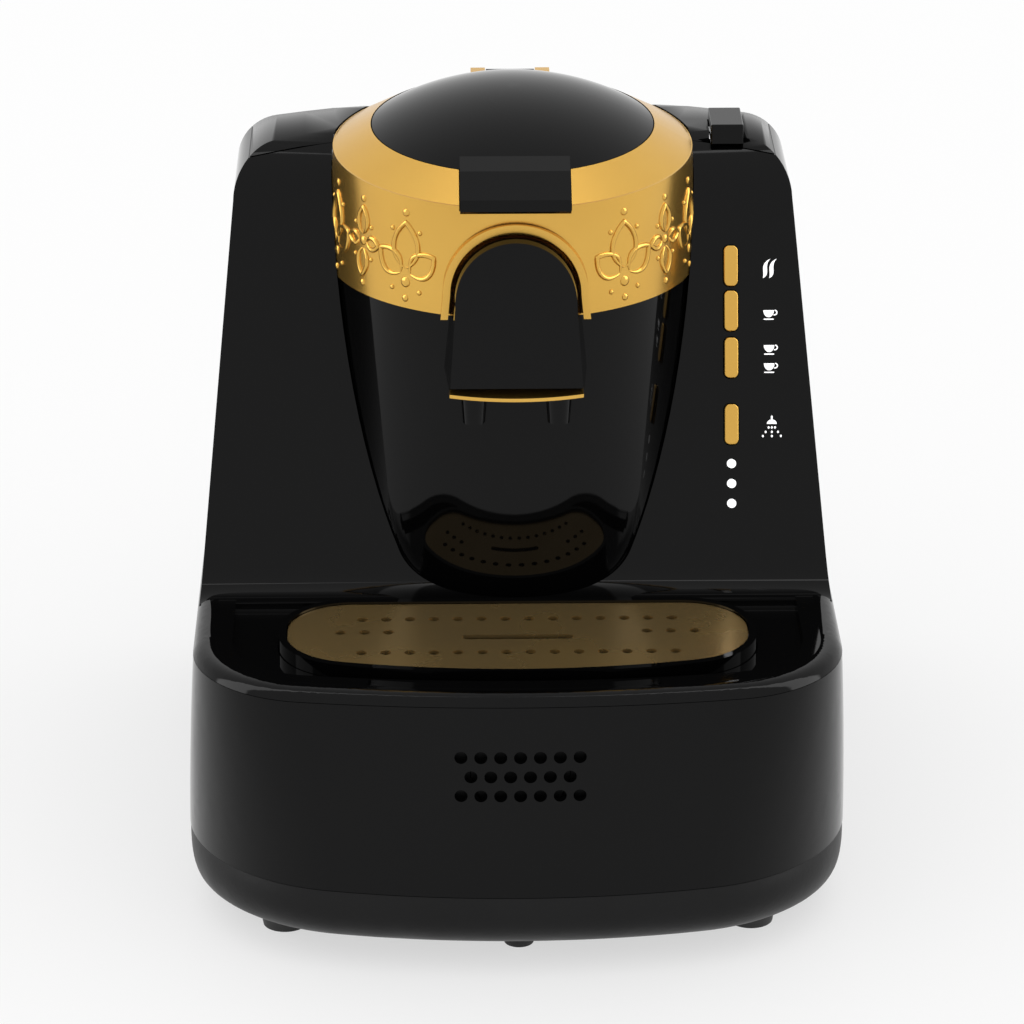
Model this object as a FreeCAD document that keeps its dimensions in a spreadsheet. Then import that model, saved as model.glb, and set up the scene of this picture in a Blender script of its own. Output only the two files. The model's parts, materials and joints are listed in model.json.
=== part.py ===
import FreeCAD, Part
import math
import os
import Sketcher
from FreeCAD import Placement, Rotation, Vector

# Electric turkish coffee maker. Millimetres, +Z up, the front faces -Y, the origin lies
# on the table under the middle of the machine.

doc = FreeCAD.newDocument("coffee_maker")
sheet = doc.addObject("Spreadsheet::Sheet", "Sizes")

# Driving dimensions: name, millimetres or degrees, what it is
SIZES = [
    ("clearance", 0.3, "gap between neighbouring pieces"),
    ("lid_gap", 2.8, "gap round the tower in the tank lid"),
    ("pin_play", 0.05, "radial play of a hinge pin"),
    ("shell_wall", 2.4, "wall of the moulded shells"),
    ("foot_height", 5.5, "table to the bottom shell"),
    ("foot_radius", 8.5, "corner feet"),
    ("centre_foot_radius", 5.5, "small foot under the front edge"),
    ("foot_across", 78.0, "corner feet from the middle plane"),
    ("foot_front", 98.0, "front feet before the middle"),
    ("foot_rear", 108.0, "rear feet behind the middle"),
    ("centre_foot_front", 113.0, "centre foot before the middle"),
    ("front_reach", 139.3, "front of the base before the middle"),
    ("rear_reach", 140.0, "back of the base behind the middle"),
    ("seam_half", 110.5, "half width of the base at the seam"),
    ("seam_height", 28.2, "seam of the bottom shell and the skirt"),
    ("skirt_tuck", 1.6, "how far the skirt turns under at the seam"),
    ("skirt_belly", 46.0, "height of the fullest line of the skirt"),
    ("seam_corner", 60.0, "front corner radius at the seam"),
    ("seam_bow", 300.0, "radius of the bowed front at the seam"),
    ("chin_half", 106.0, "half width of the flat bottom"),
    ("chin_front", 120.6, "front of the flat bottom"),
    ("chin_middle", 14.0, "height of the middle line of the chin"),
    ("chin_middle_in", 1.2, "how far that line lies inside the seam"),
    ("rim_seam", 96.8, "seam of the skirt and the deck cover"),
    ("rim_half", 107.0, "half width at that seam"),
    ("rim_front", 138.6, "front at that seam"),
    ("rim_corner", 42.0, "front corner radius at that seam"),
    ("rim_bow", 450.0, "radius of the bowed front at that seam"),
    ("rim_top", 100.4, "crest of the rounded rim"),
    ("rim_shoulder", 1.3, "how far the rim leans in at its shoulder"),
    ("rim_width", 13.0, "width of the raised rim"),
    ("deck_top", 97.8, "deck inside the rim"),
    ("deck_depth", 4.0, "thickness of the deck"),
    ("back_corner", 26.0, "rear corner radius of the base"),
    ("tray_half", 78.8, "half width of the drip tray"),
    ("tray_front", 123.5, "front of the drip tray"),
    ("tray_rear", 63.0, "rear edge of the drip tray"),
    ("tray_bow", 260.0, "radius of the bowed front of the tray"),
    ("tray_corner", 26.0, "front corner radius of the tray"),
    ("tray_back_corner", 24.0, "rear corner radius of the tray"),
    ("tray_wall", 2.6, "wall of the tray"),
    ("tray_floor", 83.0, "underside of the tray"),
    ("tray_rim", 102.6, "rim of the tray"),
    ("notch_half", 28.0, "half width of the finger notch"),
    ("notch_depth", 2.6, "depth of the finger notch"),
    ("plate_top", 101.8, "top of the drip plate"),
    ("plate_thickness", 1.4, "sheet of the drip plate"),
    ("plate_hole", 3.6, "holes in the drip plate"),
    ("plate_pitch", 7.9, "spacing of those holes"),
    ("grille_hole", 4.2, "holes of the speaker grille"),
    ("grille_pitch", 6.4, "spacing across"),
    ("grille_rise", 6.75, "spacing of the rows"),
    ("grille_height", 72.8, "middle row"),
    ("hood_half", 106.4, "half width of the rear housing at the deck"),
    ("hood_top_half", 94.6, "half width under the top corners"),
    ("hood_shoulder", 221.5, "height of the side walls"),
    ("hood_corner", 16.0, "radius of the top corners"),
    ("hood_crest", 243.3, "crest of the housing at the middle plane"),
    ("hood_crown", 600.0, "radius of the crowned top"),
    ("hood_foot", 57.6, "foot of the sweep before the middle"),
    ("hood_sweep", 18.0, "radius of the sweep out of the deck"),
    ("hood_lean", 20.0, "lean of the front face"),
    ("hood_brow", 46.0, "radius of the face into the top"),
    ("hood_break", 47.0, "where the top turns down to the back"),
    ("hood_fall", 20.0, "fall of the top towards the back"),
    ("hood_wall", 2.4, "wall of the rear housing"),
    ("hood_back", 136.0, "back of the rear housing"),
    ("lid_edge", 2.6, "edge of the tank lid"),
    ("tower_axis", 10.0, "axis of the tower behind the middle"),
    ("column_radius", 61.4, "column under the band"),
    ("column_foot_radius", 64.0, "column at the deck"),
    ("column_wall", 3.0, "wall of the column"),
    ("band_low", 198.0, "lower edge of the gold band"),
    ("band_radius", 62.2, "band at its lower edge"),
    ("band_top_radius", 60.4, "band at its shoulder"),
    ("band_over", 8.0, "height of the band's blank above the lid edge"),
    ("band_tilt", 3.0, "forward tilt of the lid and shoulder"),
    ("shoulder_height", 239.0, "shoulder edge on the axis"),
    ("mouth_height", 246.3, "lid edge on the axis"),
    ("lid_radius", 47.6, "brew lid"),
    ("lid_rise", 13.3, "rise of the domed lid"),
    ("lid_depth", 3.0, "edge of the brew lid"),
    ("tab_half", 18.2, "half width of the lid tab"),
    ("tab_low", 234.5, "lower end of the lid tab"),
    ("pot_radius", 42.4, "brew pot"),
    ("pot_wall", 1.2, "wall of the brew pot"),
    ("pot_floor", 182.0, "underside of the brew pot"),
    ("pot_rim", 237.8, "rim of the brew pot"),
    ("pot_flange", 49.0, "flange of the brew pot"),
    ("heater_thickness", 8.0, "cast heater under the pot"),
    ("heater_radius", 34.0, "heater"),
    ("spout_half", 24.0, "half width of the spout hood at its bottom"),
    ("spout_arch", 21.3, "radius of the arch of the spout hood"),
    ("spout_arch_height", 207.0, "centre of that arch"),
    ("spout_low", 178.2, "lower edge of the spout hood"),
    ("spout_front", 74.0, "front of the spout hood"),
    ("spout_lean", 22.0, "lean of the face of the spout hood"),
    ("spout_draft", 2.0, "how far the sides draw in"),
    ("spout_bow", 62.0, "radius of the bowed front of the spout hood"),
    ("spout_corner", 1.6, "lower corners of the spout hood"),
    ("spout_wall", 4.0, "wall of the spout hood"),
    ("trim_thickness", 1.2, "gold line under the spout hood"),
    ("bead_radius", 1.2, "raised bead round the spout"),
    ("nozzle_across", 14.0, "nozzles from the middle plane"),
    ("nozzle_radius", 4.5, "nozzle at its root"),
    ("nozzle_tip_radius", 3.7, "nozzle at its tip"),
    ("nozzle_bore", 1.6, "bore radius of the nozzle"),
    ("nozzle_length", 10.8, "nozzle below the spout hood"),
    ("tank_half", 84.0, "half width of the water tank"),
    ("tank_front", 78.0, "front of the tank behind the middle"),
    ("tank_back", 134.0, "back of the tank"),
    ("tank_floor", 106.0, "underside of the tank"),
    ("tank_top", 195.0, "rim of the tank"),
    ("tank_wall", 2.2, "wall of the tank"),
    ("tank_corner", 14.0, "corner radius of the tank"),
    ("button_across", 73.5, "buttons from the middle plane"),
    ("button_width", 4.8, "width of a button"),
    ("button_corner", 1.9, "corner radius of a button"),
    ("button_length", 13.8, "length of the tall buttons"),
    ("button_stand", 1.6, "how far a button stands out"),
    ("button_travel", 1.2, "press of a button"),
    ("dot_radius", 1.5, "indicator dots"),
    ("dot_pitch", 6.75, "spacing of the dots"),
    ("hose_radius", 2.6, "silicone hoses"),
    ("hose_across", 49.0, "feed hose beside the pot"),
    ("valve_across", 40.0, "tank valve from the middle plane"),
    ("pump_height", 50.0, "axis of the pump"),
    ("pump_radius", 16.0, "pump body"),
    ("board_height", 22.0, "underside of the main board"),
    ("board_thickness", 1.6, "circuit boards"),
    ("speaker_radius", 16.0, "speaker"),
    ("gland_across", 60.0, "cord gland from the middle plane"),
    ("gland_height", 46.0, "axis of the cord gland"),
    ("gland_radius", 7.0, "cord gland in the back wall"),
    ("gland_bore", 4.0, "bore for the cord"),
    ("gland_length", 13.0, "length of that bore"),
    ("gland_mouth", 3.0, "depth of the wider mouth behind it"),
]


class Dim:
    """A size: its number, and the sheet expression that it comes from."""

    def __init__(self, number, text):
        self.number = float(number)
        self.text = text

    def __add__(self, other):
        other = dim(other)
        return Dim(self.number + other.number, "(%s + %s)" % (self.text, other.text))

    def __sub__(self, other):
        other = dim(other)
        return Dim(self.number - other.number, "(%s - %s)" % (self.text, other.text))

    def __mul__(self, other):
        other = dim(other)
        return Dim(self.number * other.number, "(%s * %s)" % (self.text, other.text))

    def __truediv__(self, other):
        other = dim(other)
        return Dim(self.number / other.number, "(%s / %s)" % (self.text, other.text))

    def __radd__(self, other):
        return dim(other) + self

    def __rsub__(self, other):
        return dim(other) - self

    def __rmul__(self, other):
        return dim(other) * self

    def __neg__(self):
        return Dim(-self.number, "(0 - %s)" % self.text)


def dim(value):
    if isinstance(value, Dim):
        return value
    return Dim(value, repr(float(value)))


def root(size):
    return Dim(math.sqrt(size.number), "sqrt(%s)" % size.text)


def sine(angle):
    return Dim(math.sin(math.radians(angle.number)), "sin(%s)" % angle.text)


def cosine(angle):
    return Dim(math.cos(math.radians(angle.number)), "cos(%s)" % angle.text)


class Sizes:
    """The sheet's sizes by name, such as d.shell_wall."""


d = Sizes()
for row, (name, number, meaning) in enumerate(SIZES, start=1):
    sheet.set("A%d" % row, meaning)
    sheet.set("B%d" % row, str(number))
    sheet.setAlias("B%d" % row, name)
doc.recompute()
for name, number, meaning in SIZES:
    setattr(d, name, Dim(sheet.get(name), "Sizes.%s" % name))


def bind(thing, prop, size):
    thing.setExpression(prop, dim(size).text)


def body_named(name):
    body = doc.addObject("PartDesign::Body", name)
    body.Label = name
    return body


def plane_sketch(body, role, along=0, tag="outline"):
    """A sketch on one of the body's origin planes, moved along the plane's normal."""
    sketch = body.newObject("Sketcher::SketchObject", "%s_%s" % (body.Label, tag))
    plane = [f for f in body.Origin.OriginFeatures if f.Role == role][0]
    sketch.AttachmentSupport = [(plane, "")]
    sketch.MapMode = "FlatFace"
    along = dim(along)
    sketch.AttachmentOffset = Placement(Vector(0, 0, along.number), Rotation())
    bind(sketch, "AttachmentOffset.Base.z", along)
    return sketch


def tie(sketch, kind, geo, pos, size):
    """Holds one coordinate of a point to a size, measured from the origin."""
    size = dim(size)
    if abs(size.number) < 1e-9:
        axis = -2 if kind == "DistanceX" else -1
        sketch.addConstraint(Sketcher.Constraint("PointOnObject", geo, pos, axis))
    elif size.number > 0:
        index = sketch.addConstraint(Sketcher.Constraint(kind, -1, 1, geo, pos, size.number))
        sketch.setExpression("Constraints[%d]" % index, size.text)
    else:
        index = sketch.addConstraint(Sketcher.Constraint(kind, geo, pos, -1, 1, -size.number))
        sketch.setExpression("Constraints[%d]" % index, (-size).text)


def draw(sketch, path):
    """Draws a closed outline. Each stop is (x, y) for a line to it, or (x, y, radius, turn)
    for an arc to it, where turn is 1 anticlockwise and -1 clockwise."""
    count = len(path)
    ends = []
    for i, stop in enumerate(path):
        before = path[i - 1]
        p = Vector(dim(before[0]).number, dim(before[1]).number, 0)
        q = Vector(dim(stop[0]).number, dim(stop[1]).number, 0)
        if len(stop) == 2:
            geo = sketch.addGeometry(Part.LineSegment(p, q), False)
            ends.append((geo, 1, 2))
            continue
        radius = dim(stop[2]).number
        chord = q - p
        lift = math.sqrt(max(radius ** 2 - chord.Length ** 2 / 4, 0))
        left = Vector(-chord.y, chord.x, 0).normalize()
        centre = (p + q) * 0.5 + left * lift * stop[3]
        first, last = (p, q) if stop[3] > 0 else (q, p)
        start = math.atan2(first.y - centre.y, first.x - centre.x)
        stop_angle = math.atan2(last.y - centre.y, last.x - centre.x)
        circle = Part.Circle(centre, Vector(0, 0, 1), radius)
        geo = sketch.addGeometry(Part.ArcOfCircle(circle, start, stop_angle), False)
        ends.append((geo, 1, 2) if stop[3] > 0 else (geo, 2, 1))
    for i, stop in enumerate(path):
        geo, start, end = ends[i]
        after = ends[(i + 1) % count]
        sketch.addConstraint(Sketcher.Constraint("Coincident", geo, end, after[0], after[1]))
        tie(sketch, "DistanceX", geo, end, stop[0])
        tie(sketch, "DistanceY", geo, end, stop[1])
        if len(stop) > 2:
            radius = dim(stop[2])
            index = sketch.addConstraint(Sketcher.Constraint("Radius", geo, radius.number))
            sketch.setExpression("Constraints[%d]" % index, radius.text)


def draw_circle(sketch, x, y, radius):
    x, y, radius = dim(x), dim(y), dim(radius)
    circle = Part.Circle(Vector(x.number, y.number, 0), Vector(0, 0, 1), radius.number)
    geo = sketch.addGeometry(circle, False)
    tie(sketch, "DistanceX", geo, 3, x)
    tie(sketch, "DistanceY", geo, 3, y)
    index = sketch.addConstraint(Sketcher.Constraint("Radius", geo, radius.number))
    sketch.setExpression("Constraints[%d]" % index, radius.text)


def rectangle(left, low, right, high):
    return [(left, low), (right, low), (right, high), (left, high)]


def rounded(left, low, right, high, radius):
    return [(left + radius, low, radius, 1), (right - radius, low), (right, low + radius, radius, 1),
            (right, high - radius), (right - radius, high, radius, 1), (left + radius, high),
            (left, high - radius, radius, 1), (left, low + radius)]


def feature(body, kind, sketch, tag, **sizes):
    thing = body.newObject("PartDesign::" + kind, "%s_%s" % (body.Label, tag))
    thing.Profile = sketch
    for prop, size in sizes.items():
        if isinstance(size, (Dim, float, int)) and not isinstance(size, bool):
            bind(thing, prop, size)
        else:
            setattr(thing, prop, size)
    return thing


def loft(body, sections, tag, cut=False):
    kind = "SubtractiveLoft" if cut else "AdditiveLoft"
    thing = body.newObject("PartDesign::" + kind, "%s_%s" % (body.Label, tag))
    thing.Profile = sections[0]
    thing.Sections = sections[1:]
    thing.Ruled = False
    return thing


def tub(body, height, half, front, rear, corner, bow, back, inset=0, tag="section"):
    """One level of the base: straight sides and back, a bowed front, round corners."""
    half, front, rear = half - inset, front - inset, rear - inset
    corner, bow, back = corner - inset, bow - inset, back - inset
    drop = root((bow - corner) * (bow - corner) - (half - corner) * (half - corner))
    centre = bow - front - drop
    reach = bow / (bow - corner)
    meet_x = (half - corner) * reach
    meet_y = bow - front - drop * reach
    sketch = plane_sketch(body, "XY_Plane", height, tag)
    draw(sketch, [(meet_x, meet_y, bow, 1), (half, centre, corner, 1), (half, rear - back),
                  (half - back, rear, back, 1), (back - half, rear),
                  (-half, rear - back, back, 1), (-half, centre), (-meet_x, meet_y, corner, 1)])
    return sketch


def make_bottom_shell():
    body = body_named("bottom_shell")
    for inset, low, tag in ((0, d.foot_height, "outer"), (d.shell_wall, d.foot_height + d.shell_wall, "inner")):
        top = d.seam_height - 0.2 if tag == "outer" else d.seam_height + 1
        levels = [(low, d.chin_half, d.chin_front, d.rear_reach - 10),
                  (d.chin_middle, d.seam_half - d.chin_middle_in, d.front_reach - 2 * d.chin_middle_in,
                   d.rear_reach - d.chin_middle_in),
                  (top, d.seam_half - 0.3, d.front_reach - d.skirt_tuck, d.rear_reach)]
        sections = [tub(body, z, half, front, rear, d.seam_corner, d.seam_bow, d.back_corner, inset,
                        "%s_%d" % (tag, i)) for i, (z, half, front, rear) in enumerate(levels)]
        loft(body, sections, tag, tag == "inner")
    return body


def make_base_skirt():
    body = body_named("base_skirt")
    for inset, tag in ((0, "outer"), (d.shell_wall, "inner")):
        over = 0 if tag == "outer" else 1
        levels = [(d.seam_height - over, d.seam_half, d.front_reach - d.skirt_tuck, d.seam_corner, d.seam_bow),
                  (d.skirt_belly, d.seam_half - 0.6, d.front_reach, d.seam_corner - 3, d.seam_bow + 20),
                  (d.rim_seam - 0.2 + over, d.rim_half, d.rim_front, d.rim_corner, d.rim_bow)]
        sections = [tub(body, z, half, front, d.rear_reach, corner, bow, d.back_corner, inset,
                        "%s_%d" % (tag, i)) for i, (z, half, front, corner, bow) in enumerate(levels)]
        loft(body, sections, tag, tag == "inner")
    holes = plane_sketch(body, "XZ_Plane", d.front_reach + 5, "grille")
    for line, count in ((1, 7), (0, 6), (-1, 7)):
        for i in range(count):
            x = (i - (count - 1) / 2) * d.grille_pitch
            draw_circle(holes, x, d.grille_height + line * d.grille_rise, d.grille_hole / 2)
    feature(body, "Pocket", holes, "grille_cut", Length=d.shell_wall * 2 + 8)
    outlet = plane_sketch(body, "XZ_Plane", -d.rear_reach + d.shell_wall * 2, "outlet")
    draw_circle(outlet, -d.gland_across, d.gland_height, d.gland_radius)
    feature(body, "Pocket", outlet, "outlet_cut", Length=d.shell_wall * 4)
    return body


def tray_outline(body, height, spare, tag):
    """Plan of the drip tray, made larger or smaller all round by spare."""
    half, front, rear = d.tray_half + spare, d.tray_front + spare, d.tray_rear - spare
    corner, back, bow = d.tray_corner + spare, d.tray_back_corner + spare, d.tray_bow + spare
    drop = root((bow - corner) * (bow - corner) - (half - corner) * (half - corner))
    reach = bow / (bow - corner)
    sketch = plane_sketch(body, "XY_Plane", height, tag)
    meet_y = bow - front - drop * reach
    draw(sketch, [((half - corner) * reach, meet_y, bow, 1), (half, bow - front - drop, corner, 1),
                  (half, -rear - back), (half - back, -rear, back, 1), (back - half, -rear),
                  (-half, -rear - back, back, 1), (-half, bow - front - drop),
                  (-(half - corner) * reach, meet_y, corner, 1)])
    return sketch


def make_deck_cover():
    body = body_named("deck_cover")
    lip = d.shell_wall + d.clearance
    under = tub(body, d.deck_top - d.deck_depth, d.rim_half, d.rim_front, d.rear_reach, d.rim_corner,
                d.rim_bow, d.back_corner, lip, "lip")
    feature(body, "Pad", under, "lip_pad", Length=d.rim_seam - d.deck_top + d.deck_depth)
    levels = [(d.rim_seam, 0), (d.rim_seam + (d.rim_top - d.rim_seam) * 0.6, d.rim_shoulder),
              (d.rim_top, d.rim_width * 0.55)]
    sections = [tub(body, z, d.rim_half, d.rim_front, d.rear_reach, d.rim_corner, d.rim_bow,
                    d.back_corner, inset, "rim_%d" % i) for i, (z, inset) in enumerate(levels)]
    loft(body, sections, "rim")
    well = tray_outline(body, d.tray_floor - d.clearance - d.shell_wall, d.clearance + d.shell_wall, "well")
    feature(body, "Pad", well, "well_pad", Length=d.deck_top - d.tray_floor + d.clearance + d.shell_wall)
    inner = tub(body, d.rim_top + 1, d.rim_half, d.rim_front, d.rear_reach, d.rim_corner, d.rim_bow,
                d.back_corner, d.rim_width, "deck")
    feature(body, "Pocket", inner, "deck_cut", Length=d.rim_top + 1 - d.deck_top)
    behind = plane_sketch(body, "XY_Plane", d.rim_top + 1, "behind")
    draw(behind, rectangle(-d.seam_half - 5, -d.hood_foot, d.seam_half + 5, d.rear_reach + 5))
    feature(body, "Pocket", behind, "behind_cut", Length=d.rim_top + 1 - d.deck_top)
    hollow = tray_outline(body, d.rim_top + 1, d.clearance, "well_hollow")
    feature(body, "Pocket", hollow, "well_cut", Length=d.rim_top + 1 - d.tray_floor + d.clearance)
    ports = plane_sketch(body, "XY_Plane", d.deck_top + 1, "ports")
    for x, y, radius in hose_ports():
        draw_circle(ports, x, y, radius + 1)
    feature(body, "Pocket", ports, "port_cut", Length=d.deck_depth + 2)
    return body


def hose_ports():
    """Where hoses and wires pass the deck: x, y, radius."""
    return [(d.valve_across, (d.tank_front + d.tank_back) / 2, d.hose_radius + 2),
            (-d.hose_across, d.tower_axis, d.hose_radius), (dim(20), d.tower_axis, d.hose_radius),
            (d.button_across, dim(10), d.hose_radius)]


def make_drip_tray():
    body = body_named("drip_tray")
    feature(body, "Pad", tray_outline(body, d.tray_floor, 0, "outer"), "outer_pad",
            Length=d.tray_rim - d.tray_floor)
    ledge = tray_outline(body, d.tray_rim + 1, -d.tray_wall, "ledge")
    feature(body, "Pocket", ledge, "ledge_cut", Length=d.tray_rim + 1 - d.plate_top + d.plate_thickness)
    inner = tray_outline(body, d.tray_rim + 1, -d.tray_wall - 2.4, "inner")
    feature(body, "Pocket", inner, "inner_cut", Length=d.tray_rim + 1 - d.tray_floor - d.tray_wall)
    notch = plane_sketch(body, "XZ_Plane", d.tray_front - d.tray_wall + 0.6, "notch")
    draw(notch, rectangle(-d.notch_half, d.deck_top, d.notch_half, d.tray_rim + 1))
    feature(body, "Pocket", notch, "notch_cut", Length=20, Reversed=True)
    return body


def make_drip_plate():
    body = body_named("drip_plate")
    spare = -d.tray_wall - d.clearance
    sheet_base = tray_outline(body, d.plate_top - d.plate_thickness, spare, "outer")
    feature(body, "Pad", sheet_base, "sheet", Length=d.plate_thickness)
    holes = plane_sketch(body, "XY_Plane", d.plate_top + 1, "holes")
    middle = -(d.tray_front + d.tray_rear) / 2
    for line, count in ((-1.55, 14), (0.55, 6), (1.9, 14), (0.0, 0)):
        for i in range(count):
            across = (i - (count - 1) / 2) * d.plate_pitch
            if count == 6:
                side = 1 if i > 2 else -1
                across = side * (d.plate_pitch * 5.4 + (abs(i - 2.5) - 0.5) * d.plate_pitch)
            draw_circle(holes, across, middle + d.plate_pitch * line, d.plate_hole / 2)
    slot = d.plate_hole / 2
    reach = d.plate_pitch * 2.1
    low, high = middle - slot, middle + slot
    draw(holes, [(reach, low), (reach + slot, middle, slot, 1), (reach, high, slot, 1), (-reach, high),
                 (-reach - slot, middle, slot, 1), (-reach, low, slot, 1)])
    feature(body, "Pocket", holes, "hole_cut", Length=d.plate_thickness + 2)
    return body


def hood_front(body, inset, tag):
    """Front outline of the rear housing on the line where its top turns down: tapered
    sides, round top corners and a crowned top."""
    sketch = plane_sketch(body, "XZ_Plane", -d.hood_break, tag)
    radius = d.hood_corner - inset
    low = d.deck_top - 45
    slope = (d.hood_half - d.hood_top_half) / (d.hood_shoulder - d.deck_top)
    half_low = d.hood_half + slope * 45 - inset
    half_top = d.hood_top_half - inset
    crown = d.hood_crown - inset
    centre_x = half_top - radius
    centre_z = d.hood_crest - d.hood_crown + root((crown - radius) * (crown - radius) - centre_x * centre_x)
    reach = crown / (crown - radius)
    meet_x = centre_x * reach
    meet_z = d.hood_crest - d.hood_crown + (centre_z - d.hood_crest + d.hood_crown) * reach
    draw(sketch, [(half_low, low), (half_top, centre_z), (meet_x, meet_z, radius, 1),
                  (-meet_x, meet_z, crown, 1), (-half_top, centre_z, radius, 1), (-half_low, low)])
    return sketch


def hood_side(body, inset, tag):
    """Everything before the housing's front face, seen from the side: the sweep out of
    the deck, the leaning face and the round brow."""
    lean = d.hood_lean
    sweep = d.hood_sweep + inset
    brow = d.hood_brow - inset
    centre_y, centre_z = -d.hood_foot, d.deck_top + 1 + d.hood_sweep
    foot_y = centre_y + sweep * cosine(lean)
    foot_z = centre_z - sweep * sine(lean)
    brow_z = d.hood_crest - d.hood_brow * (1 - sine(lean))
    rise = (brow_z - centre_z + d.hood_sweep * sine(lean)) / cosine(lean)
    brow_y = centre_y + d.hood_sweep * cosine(lean) + rise * sine(lean)
    middle_y, middle_z = brow_y + d.hood_brow * cosine(lean), brow_z - d.hood_brow * sine(lean)
    start_y, start_z = middle_y - brow * cosine(lean), middle_z + brow * sine(lean)
    sketch = plane_sketch(body, "YZ_Plane", 0, tag)
    draw(sketch, [(centre_y, centre_z - sweep), (foot_y, foot_z, sweep, 1), (start_y, start_z),
                  (middle_y, middle_z + brow, brow, -1), (middle_y, middle_z + brow + 30),
                  (centre_y - 30, middle_z + brow + 30), (centre_y - 30, centre_z - sweep)])
    return sketch


def hood_solid(body, inset, tag):
    """The rear housing as a closed form, or its hollow when inset is its wall."""
    outline = hood_front(body, inset, tag + "_front")
    feature(body, "Pad", outline, tag + "_fore", Length=d.hood_break + d.hood_foot)
    rear = feature(body, "Pad", outline, tag + "_aft", Length=d.hood_back - d.hood_break - inset)
    rear.UseCustomVector = True
    fall = math.radians(d.hood_fall.number)
    rear.Direction = Vector(0, math.cos(fall), -math.sin(fall))
    rear.AlongSketchNormal = True
    side = hood_side(body, inset, tag + "_side")
    feature(body, "Pocket", side, tag + "_face", Length=d.hood_half * 3, SideType="Symmetric")
    low = plane_sketch(body, "XZ_Plane", d.hood_back + 60, tag + "_low")
    draw(low, rectangle(-d.hood_half * 2, d.deck_top - 100, d.hood_half * 2, d.deck_top))
    feature(body, "Pocket", low, tag + "_under", Length=d.hood_back * 4)


def place(thing, x, y, z, turn=None):
    """Puts a primitive where its sizes say."""
    x, y, z = dim(x), dim(y), dim(z)
    thing.Placement = Placement(Vector(x.number, y.number, z.number), turn or Rotation())
    for axis, size in (("x", x), ("y", y), ("z", z)):
        bind(thing, "Placement.Base.%s" % axis, size)


def box(label, left, front, low, right, back, high):
    thing = doc.addObject("Part::Box", label)
    thing.Label = label
    bind(thing, "Length", right - left)
    bind(thing, "Width", back - front)
    bind(thing, "Height", high - low)
    place(thing, left, front, low)
    return thing


TURNS = {"z": Rotation(), "x": Rotation(Vector(0, 1, 0), 90), "y": Rotation(Vector(1, 0, 0), -90)}


def rod(label, x, y, z, radius, length, axis="z", tip=None):
    """A round bar, or a tapered one when tip is its far radius."""
    kind = "Part::Cylinder" if tip is None else "Part::Cone"
    thing = doc.addObject(kind, label)
    thing.Label = label
    if tip is None:
        bind(thing, "Radius", radius)
    else:
        bind(thing, "Radius1", radius)
        bind(thing, "Radius2", tip)
    bind(thing, "Height", length)
    place(thing, x, y, z, TURNS[axis])
    return thing


def ring(label, x, y, z, radius, bore, length, axis="z"):
    outer = rod(label + "_outer", x, y, z, radius, length, axis)
    inner = rod(label + "_inner", x, y, z, bore, length, axis)
    return cut(label, outer, inner)


def joined(label, kind, shapes):
    thing = doc.addObject("Part::" + kind, label)
    thing.Label = label
    thing.Shapes = shapes
    return thing


def fuse(label, *shapes):
    return joined(label, "MultiFuse", list(shapes))


def common(label, *shapes):
    return joined(label, "MultiCommon", list(shapes))


def cut(label, base, *tools):
    tool = tools[0] if len(tools) == 1 else fuse(label + "_tools", *tools)
    thing = doc.addObject("Part::Cut", label)
    thing.Label = label
    thing.Base = base
    thing.Tool = tool
    return thing


def hood_body(tag, inset):
    body = body_named(tag)
    hood_solid(body, dim(inset), "form")
    return body


def make_lid_zone(tag, depth):
    body = body_named(tag)
    sketch = plane_sketch(body, "XZ_Plane", -d.hood_break, "arc")
    crown = d.hood_crown - depth
    half = d.hood_half + 10
    edge = d.hood_crest - d.hood_crown + root(crown * crown - half * half)
    high = d.hood_crest + 60
    draw(sketch, [(half, edge, crown, -1), (half, high), (-half, high), (-half, edge)])
    feature(body, "Pad", sketch, "fore", Length=d.hood_break + d.hood_foot)
    rear = feature(body, "Pad", sketch, "aft", Length=d.hood_back - d.hood_break + 20)
    rear.UseCustomVector = True
    fall = math.radians(d.hood_fall.number)
    rear.Direction = Vector(0, math.cos(fall), -math.sin(fall))
    rear.AlongSketchNormal = True
    return body


BUTTONS = [("heat_button", 200.7), ("one_cup_button", 186.4), ("two_cup_button", 171.5),
           ("clean_button", 150.3)]


def face_point(height):
    """The point of the leaning face at a height, as its distance behind the middle."""
    centre_y, centre_z = -d.hood_foot, d.deck_top + 1 + d.hood_sweep
    start_y = centre_y + d.hood_sweep * cosine(d.hood_lean)
    start_z = centre_z - d.hood_sweep * sine(d.hood_lean)
    return start_y + (dim(height) - start_z) * sine(d.hood_lean) / cosine(d.hood_lean)


def leaning_box(label, across, height, half, length, front, back):
    """A box square to the leaning face: front and back are measured out of the face."""
    thing = doc.addObject("Part::Box", label)
    thing.Label = label
    bind(thing, "Length", half * 2)
    bind(thing, "Width", back - front)
    bind(thing, "Height", length)
    y = face_point(height)
    lean = d.hood_lean
    turn = Rotation(Vector(1, 0, 0), -lean.number)
    place(thing, across - half, y + front * cosine(lean) - length / 2 * sine(lean),
          dim(height) - length / 2 * cosine(lean) - front * sine(lean), turn)
    return thing


def leaning_bar(label, height, spare, front, back):
    """A bar with round corners square to the leaning face, such as a button or its slot."""
    body = body_named(label)
    half, reach = d.button_width / 2 + spare, d.button_length / 2 + spare
    sketch = plane_sketch(body, "XZ_Plane", -back, "face")
    draw(sketch, rounded(d.button_across - half, -reach, d.button_across + half, reach,
                         d.button_corner + spare))
    feature(body, "Pad", sketch, "pad", Length=back - front)
    place(body, 0, face_point(height), height, Rotation(Vector(1, 0, 0), -d.hood_lean.number))
    return body


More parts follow.
